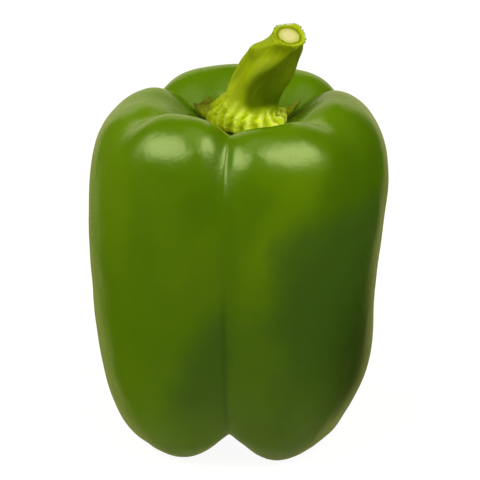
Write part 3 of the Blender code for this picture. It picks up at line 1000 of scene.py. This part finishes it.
class PEPPER_OT_stem(bpy.types.Operator):
    """Grow the cut stem and the calyx that lies in the dimple"""

    bl_idname = "pepper.stem"
    bl_label = "Stem and calyx"

    def execute(self, context):
        fruit = context.scene.objects["pepper_fruit"]
        material = stem_material(context.scene.pepper_colours)
        stem = link_object("pepper_stem", stem_mesh(fruit, context.scene.pepper_stem, material))
        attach(stem, "root")
        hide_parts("stem")
        return {"FINISHED"}


class PEPPER_OT_fibres(bpy.types.Operator):
    """Set the torn fibres round the cut of the stem"""

    bl_idname = "pepper.fibres"
    bl_label = "Torn fibres"

    def execute(self, context):
        stem = context.scene.objects["pepper_stem"]
        sizes = context.scene.pepper_stem
        rim = rim_line(sizes)
        tree, keys = fibre_tree(stem.data.materials[0])
        values = {
            "Rim": rim, "Fibres": sizes.torn_fibres, "Length": sizes.torn_length,
            "Width": sizes.torn_width, "Highest": highest(), "Seed": sizes.seed,
        }
        fibres = settle("torn_fibres", tree, keys, values)
        bpy.data.objects.remove(rim)
        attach(fibres, "root")
        return {"FINISHED"}


def softbox(name, power, azimuth, elevation, spin, width, height):
    """A softbox that faces the fruit from a direction, in degrees, brightest in its middle."""
    data = bpy.data.lights.new(name, "AREA")
    data.shape = "RECTANGLE"
    data.size = width
    data.size_y = height
    data.energy = power
    data.use_nodes = True
    tree = Tree(data.node_tree)
    across, upright, _ = tree.split(tree.add("ShaderNodeNewGeometry", {}, {}, "Parametric"))
    outwards = ((across - 0.5) ** 2 + (upright - 0.5) ** 2) * 4.0
    glow = {"Color": WARM, "Strength": outwards.smooth(1.0, 0.2) * 1.7}
    tree.add("ShaderNodeOutputLight", {}, {"Surface": tree.add("ShaderNodeEmission", {}, glow)})
    light = link_object(name, data)
    a, e = math.radians(azimuth), math.radians(elevation)
    towards = Vector((math.cos(a) * math.cos(e), math.sin(a) * math.cos(e), math.sin(e)))
    light.location = Vector((0, 0, AIM_HEIGHT)) + towards * LIGHT_DISTANCE
    turn = Quaternion(towards, math.radians(spin)) @ towards.to_track_quat("Z", "Y")
    light.rotation_euler = turn.to_euler()


def white_surround(studio):
    """White to the camera everywhere; to the fruit, a white backdrop behind and a dim room in front."""
    world = bpy.data.worlds.new("studio")
    bpy.context.scene.world = world
    world.use_nodes = True
    tree = Tree(world.node_tree)
    right, back, up = tree.split(tree.add("ShaderNodeTexCoord", {}, {}, "Generated"))
    level = (1.0 - up * up).math("MAXIMUM", 0.0001) ** 0.5
    spread = up.smooth(0.05, -0.25) * (0.16 - right.math("MAXIMUM", 0.0) * 0.16)
    behind = (back / level + spread).smooth(0.78, 0.93) * up.smooth(0.76, 0.54)
    behind = behind * (up.smooth(-0.35, 0.06) * 0.50 + 0.50)
    below = up.smooth(-0.40, -0.85)
    seen = tree.add("ShaderNodeLightPath", {}, {}, "Is Camera Ray")
    strength = (behind * studio.surround).math("MAXIMUM", below * 0.30).math("MAXIMUM", studio.dimness)
    strength = seen * (1.0 - strength) + strength
    colour = tree.blend(behind.math("MAXIMUM", below), (1.0, 1.0, 0.15, 1.0), (1.0, 0.98, 0.52, 1.0))
    colour = tree.blend(seen, colour, (1.0, 1.0, 1.0, 1.0))
    light = tree.add("ShaderNodeBackground", {}, {"Color": colour, "Strength": strength})
    tree.add("ShaderNodeOutputWorld", {}, {"Surface": light})


def place_camera(studio):
    data = bpy.data.cameras.new("camera")
    data.sensor_width = SENSOR
    data.lens = SENSOR * studio.distance * PIXELS_PER_METRE / IMAGE_SIZE
    data.shift_y = AIM_PIXEL_BELOW_MIDDLE / IMAGE_SIZE
    camera = link_object("camera", data)
    back = Vector((0, -math.cos(studio.elevation), math.sin(studio.elevation)))
    camera.location = Vector((0, 0, AIM_HEIGHT)) + back * studio.distance
    camera.rotation_euler = back.to_track_quat("Z", "Y").to_euler()
    bpy.context.scene.camera = camera


class PEPPER_OT_studio(bpy.types.Operator):
    """Set the pale floor, the soft lights, the white surround and the camera"""

    bl_idname = "pepper.studio"
    bl_label = "Studio"

    def execute(self, context):
        studio = context.scene.pepper_studio
        ground = bmesh.new()
        bmesh.ops.create_circle(ground, cap_ends=True, segments=96, radius=2.5)
        mesh = bpy.data.meshes.new("floor")
        ground.to_mesh(mesh)
        ground.free()
        mesh.materials.append(floor_material())
        floor = link_object("floor", mesh)
        floor.visible_glossy = False
        floor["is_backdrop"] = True
        for name, place in SOFTBOXES.items():
            softbox(name, getattr(studio, name), *place)
        white_surround(studio)
        place_camera(studio)
        context.scene.view_settings.view_transform = "Standard"
        return {"FINISHED"}


class PEPPER_PT_panel(bpy.types.Panel):
    """Lists the pieces of the pepper and its studio"""

    bl_label = "Bell pepper"
    bl_idname = "PEPPER_PT_panel"
    bl_space_type = "VIEW_3D"
    bl_region_type = "UI"
    bl_category = "Bell pepper"

    def draw(self, context):
        column = self.layout.column()
        for operator in OPERATORS:
            column.operator(operator.bl_idname)
        for name, group in GROUPS.items():
            for size in group.__annotations__:
                column.prop(getattr(context.scene, name), size)


OPERATORS = (PEPPER_OT_fruit, PEPPER_OT_stem, PEPPER_OT_fibres, PEPPER_OT_studio)
GROUPS = {
    "pepper_fruit": FruitSizes,
    "pepper_stem": StemSizes,
    "pepper_colours": PepperColours,
    "pepper_studio": StudioSizes,
}


def register():
    for cls in (*GROUPS.values(), *OPERATORS, PEPPER_PT_panel):
        bpy.utils.register_class(cls)
    for name, group in GROUPS.items():
        setattr(bpy.types.Scene, name, PointerProperty(type=group))


def unregister():
    for name in GROUPS:
        delattr(bpy.types.Scene, name)
    for cls in (PEPPER_PT_panel, *reversed(OPERATORS), *reversed(GROUPS.values())):
        bpy.utils.unregister_class(cls)


def main():
    register()
    bpy.ops.pepper.fruit()
    bpy.ops.pepper.stem()
    bpy.ops.pepper.fibres()
    bpy.ops.pepper.studio()
    boxes = {"cad": cad_box, "visual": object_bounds()}
    boxes = {name: [list(corner) for corner in box] for name, box in boxes.items()}


if __name__ == "__main__":
    main()
